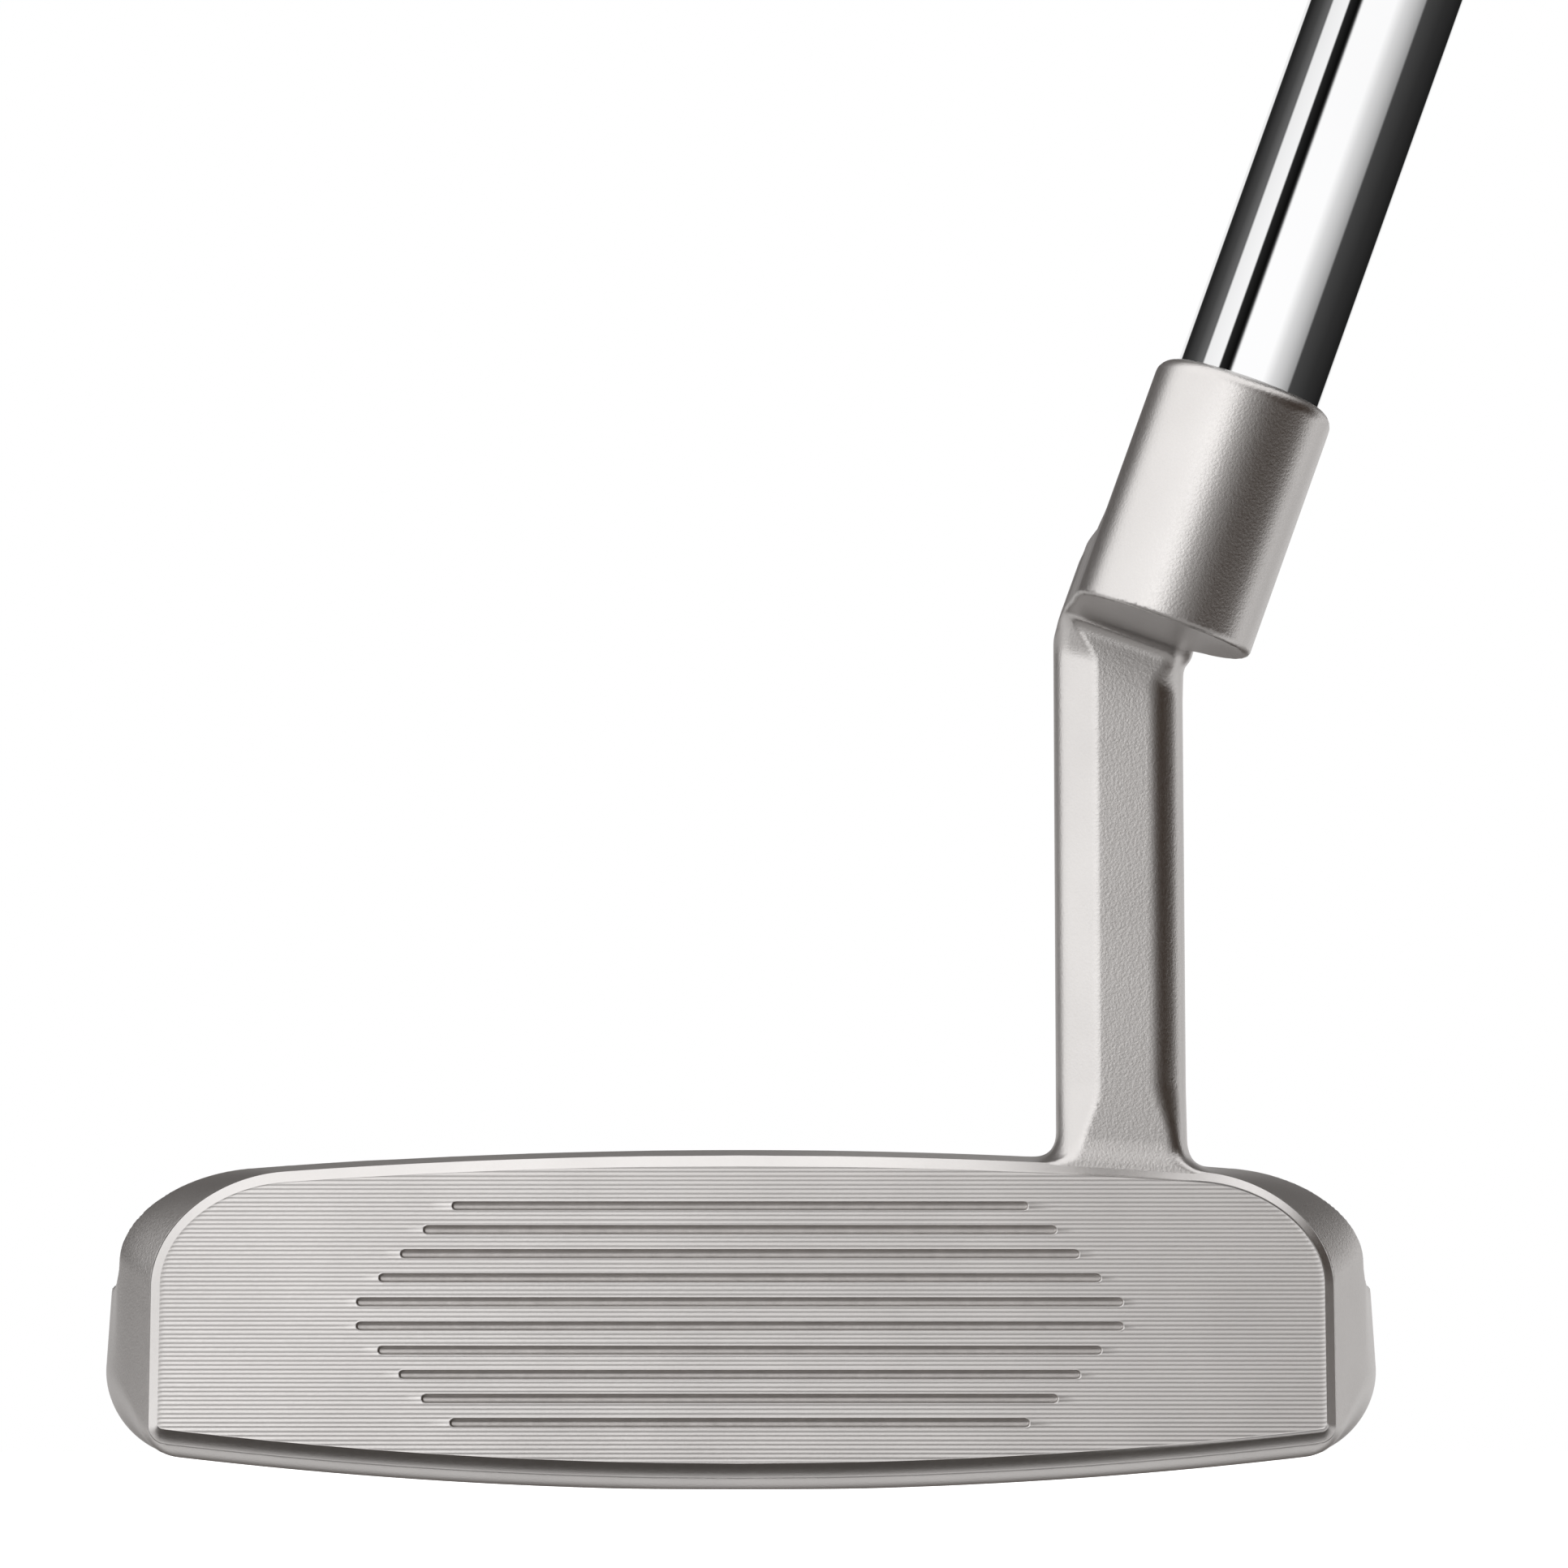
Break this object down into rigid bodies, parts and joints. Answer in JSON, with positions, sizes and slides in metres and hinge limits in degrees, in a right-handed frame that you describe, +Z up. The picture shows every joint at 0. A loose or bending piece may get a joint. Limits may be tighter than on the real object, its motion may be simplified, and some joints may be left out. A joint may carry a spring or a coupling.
{
  "type": "blade putter",
  "caption": "Right-handed blade putter: grooved milled face, plumber's neck, steel shaft, pistol grip and removable sole weights.",
  "frame": {"origin": "middle of the small flat on the sole, on the ground when the head is soled", "axes": "+Z up, +X from toe to heel (the player's side), +Y from the face to the back of the head; the face looks along -Y"},
  "size_m": [0.3693, 0.0436, 0.815],
  "materials": {
    "satin_steel": "bead-blasted satin stainless steel, fly-milled on the face",
    "weight_steel": "turned stainless steel, satin",
    "chromed_steel": "bright chrome plate on a steel tube",
    "black_paint": "matte paint fill",
    "epoxy": "cured epoxy",
    "tape": "double-sided paper tape",
    "grip_rubber": "matte moulded rubber with a fine pattern",
    "cap_rubber": "smooth hard rubber"
  },
  "bodies": {
    "club": {"head_casting": "satin_steel", "sight_line": "black_paint", "hosel_adhesive": "epoxy", "shaft_tube": "chromed_steel", "grip_tape": "tape", "grip_sleeve": "grip_rubber", "grip_end_cap": "cap_rubber"},
    "toe_weight": {"weight_screw_toe": "weight_steel"},
    "heel_weight": {"weight_screw_heel": "weight_steel"}
  },
  "joints": [
    {"name": "toe_weight_out", "type": "slide", "parent": "club", "child": "toe_weight", "axis": [-0.0875, 0, -0.9962], "range_m": [0, 0.01]},
    {"name": "heel_weight_out", "type": "slide", "parent": "club", "child": "heel_weight", "axis": [0.0875, 0, -0.9962], "range_m": [0, 0.01]}
  ]
}
